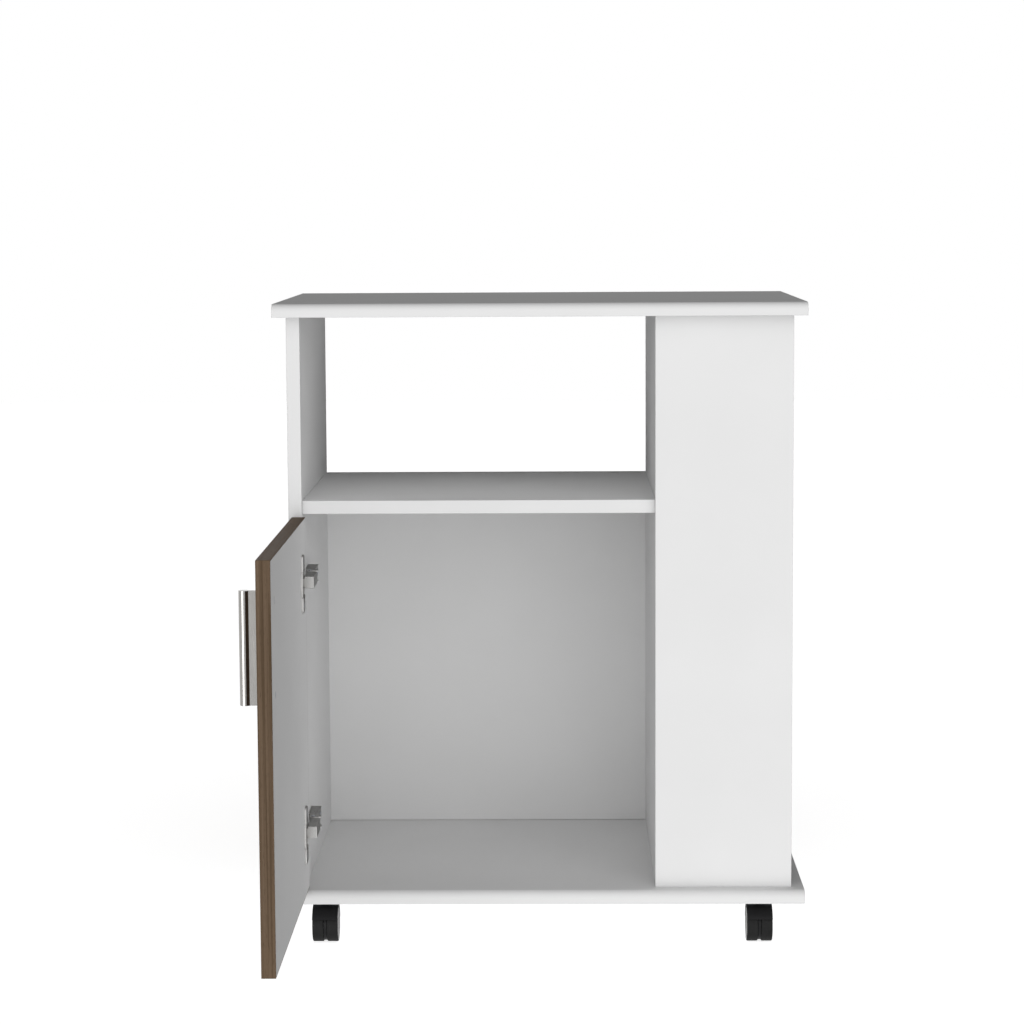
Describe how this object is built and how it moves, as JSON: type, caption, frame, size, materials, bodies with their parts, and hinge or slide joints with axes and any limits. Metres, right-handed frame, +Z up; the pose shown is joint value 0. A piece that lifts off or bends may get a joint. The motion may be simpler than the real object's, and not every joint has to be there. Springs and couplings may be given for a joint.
{
  "type": "microwave cart",
  "caption": "White board cart on swivel casters, with a worktop, an open niche, a cupboard behind a walnut door, and a side bay behind a plain front fascia.",
  "frame": {"origin": "on the floor, under the middle of the box of the cart with its door open at a right angle", "axes": "+Z up, -Y towards the front and the door, +X towards the right side seen from the front"},
  "size_m": [0.5958, 0.764, 0.728],
  "materials": {
    "white_melamine_board": "satin white melamine film on particle board",
    "white_hardboard": "satin white lacquered hardboard",
    "walnut_melamine_board": "satin walnut-print melamine outside, white melamine inside",
    "walnut_edge_band": "satin walnut-print edge banding",
    "brushed_nickel_handle": "brushed nickel",
    "nickel_plated_hinge": "bright nickel plate",
    "zinc_plated_steel": "bright zinc plate",
    "white_cam_cap": "satin white",
    "beech_dowel": "raw beech",
    "black_nylon": "moulded, satin",
    "black_tread": "matt",
    "grey_nylon": "moulded, satin"
  },
  "bodies": {
    "carcass": {"top_panel": "white_melamine_board", "base_panel": "white_melamine_board", "left_side": "white_melamine_board", "divider": "white_melamine_board", "front_fascia": "white_melamine_board", "rear_fascia": "white_melamine_board", "middle_shelf": "white_melamine_board", "side_shelf_upper": "white_melamine_board", "side_shelf_lower": "white_melamine_board", "back_panel": "white_hardboard", "upper_hinge_arm": "nickel_plated_hinge", "upper_hinge_plate": "nickel_plated_hinge", "lower_hinge_arm": "nickel_plated_hinge", "lower_hinge_plate": "nickel_plated_hinge", "hinge_pins": "zinc_plated_steel", "hinge_plate_screws": "zinc_plated_steel", "caster_screws": "zinc_plated_steel", "cam_locks": "white_cam_cap", "cam_bolts": "zinc_plated_steel", "dowels": "beech_dowel", "base_screws": "zinc_plated_steel", "back_panel_nails": "zinc_plated_steel", "side_shelf_pins": "zinc_plated_steel", "front_left_caster_plate": "zinc_plated_steel", "front_right_caster_plate": "zinc_plated_steel", "rear_left_caster_plate": "zinc_plated_steel", "rear_right_caster_plate": "zinc_plated_steel"},
    "door": {"door_panel": "walnut_melamine_board", "door_edge_band": "walnut_edge_band", "handle": "brushed_nickel_handle", "handle_screws": "zinc_plated_steel", "upper_hinge_cup": "nickel_plated_hinge", "lower_hinge_cup": "nickel_plated_hinge", "hinge_cup_screws": "zinc_plated_steel"},
    "upper_link": {"upper_hinge_link": "nickel_plated_hinge"},
    "lower_link": {"lower_hinge_link": "nickel_plated_hinge"},
    "front_left_caster": {"front_left_caster_hood": "black_nylon", "front_left_caster_axle": "zinc_plated_steel"},
    "front_left_wheel_outer": {"front_left_tread_outer": "black_tread", "front_left_hub_outer": "grey_nylon"},
    "front_left_wheel_inner": {"front_left_tread_inner": "black_tread", "front_left_hub_inner": "grey_nylon"},
    "front_right_caster": {"front_right_caster_hood": "black_nylon", "front_right_caster_axle": "zinc_plated_steel"},
    "front_right_wheel_outer": {"front_right_tread_outer": "black_tread", "front_right_hub_outer": "grey_nylon"},
    "front_right_wheel_inner": {"front_right_tread_inner": "black_tread", "front_right_hub_inner": "grey_nylon"},
    "rear_left_caster": {"rear_left_caster_hood": "black_nylon", "rear_left_caster_axle": "zinc_plated_steel"},
    "rear_left_wheel_outer": {"rear_left_tread_outer": "black_tread", "rear_left_hub_outer": "grey_nylon"},
    "rear_left_wheel_inner": {"rear_left_tread_inner": "black_tread", "rear_left_hub_inner": "grey_nylon"},
    "rear_right_caster": {"rear_right_caster_hood": "black_nylon", "rear_right_caster_axle": "zinc_plated_steel"},
    "rear_right_wheel_outer": {"rear_right_tread_outer": "black_tread", "rear_right_hub_outer": "grey_nylon"},
    "rear_right_wheel_inner": {"rear_right_tread_inner": "black_tread", "rear_right_hub_inner": "grey_nylon"}
  },
  "joints": [
    {"name": "door_swing", "type": "hinge", "parent": "carcass", "child": "door", "pos_m": [-0.27185, 0.01575, 0.27875], "axis": [0, 0, 1], "range_deg": [0, 90]},
    {"name": "upper_link_swing", "type": "hinge", "parent": "carcass", "child": "upper_link", "pos_m": [-0.2591, 0.0305, 0.42], "axis": [0, 0, 1], "range_deg": [0, 90]},
    {"name": "lower_link_swing", "type": "hinge", "parent": "carcass", "child": "lower_link", "pos_m": [-0.2591, 0.0305, 0.1375], "axis": [0, 0, 1], "range_deg": [0, 90]},
    {"name": "front_left_swivel", "type": "hinge", "parent": "carcass", "child": "front_left_caster", "pos_m": [-0.2456, 0.039, 0.045], "axis": [0, 0, 1], "continuous": true},
    {"name": "front_left_outer_roll", "type": "hinge", "parent": "front_left_caster", "child": "front_left_wheel_outer", "pos_m": [-0.2456, 0.026, 0.02], "axis": [1, 0, 0], "continuous": true},
    {"name": "front_left_inner_roll", "type": "hinge", "parent": "front_left_caster", "child": "front_left_wheel_inner", "pos_m": [-0.2456, 0.026, 0.02], "axis": [1, 0, 0], "continuous": true},
    {"name": "front_right_swivel", "type": "hinge", "parent": "carcass", "child": "front_right_caster", "pos_m": [0.2484, 0.039, 0.045], "axis": [0, 0, 1], "continuous": true},
    {"name": "front_right_outer_roll", "type": "hinge", "parent": "front_right_caster", "child": "front_right_wheel_outer", "pos_m": [0.2484, 0.026, 0.02], "axis": [1, 0, 0], "continuous": true},
    {"name": "front_right_inner_roll", "type": "hinge", "parent": "front_right_caster", "child": "front_right_wheel_inner", "pos_m": [0.2484, 0.026, 0.02], "axis": [1, 0, 0], "continuous": true},
    {"name": "rear_left_swivel", "type": "hinge", "parent": "carcass", "child": "rear_left_caster", "pos_m": [-0.2456, 0.333, 0.045], "axis": [0, 0, 1], "continuous": true},
    {"name": "rear_left_outer_roll", "type": "hinge", "parent": "rear_left_caster", "child": "rear_left_wheel_outer", "pos_m": [-0.2456, 0.32, 0.02], "axis": [1, 0, 0], "continuous": true},
    {"name": "rear_left_inner_roll", "type": "hinge", "parent": "rear_left_caster", "child": "rear_left_wheel_inner", "pos_m": [-0.2456, 0.32, 0.02], "axis": [1, 0, 0], "continuous": true},
    {"name": "rear_right_swivel", "type": "hinge", "parent": "carcass", "child": "rear_right_caster", "pos_m": [0.2484, 0.333, 0.045], "axis": [0, 0, 1], "continuous": true},
    {"name": "rear_right_outer_roll", "type": "hinge", "parent": "rear_right_caster", "child": "rear_right_wheel_outer", "pos_m": [0.2484, 0.32, 0.02], "axis": [1, 0, 0], "continuous": true},
    {"name": "rear_right_inner_roll", "type": "hinge", "parent": "rear_right_caster", "child": "rear_right_wheel_inner", "pos_m": [0.2484, 0.32, 0.02], "axis": [1, 0, 0], "continuous": true}
  ],
  "couplings": [
    {"joint": "upper_link_swing", "follows": "door_swing", "ratio": 1},
    {"joint": "lower_link_swing", "follows": "door_swing", "ratio": 1}
  ]
}
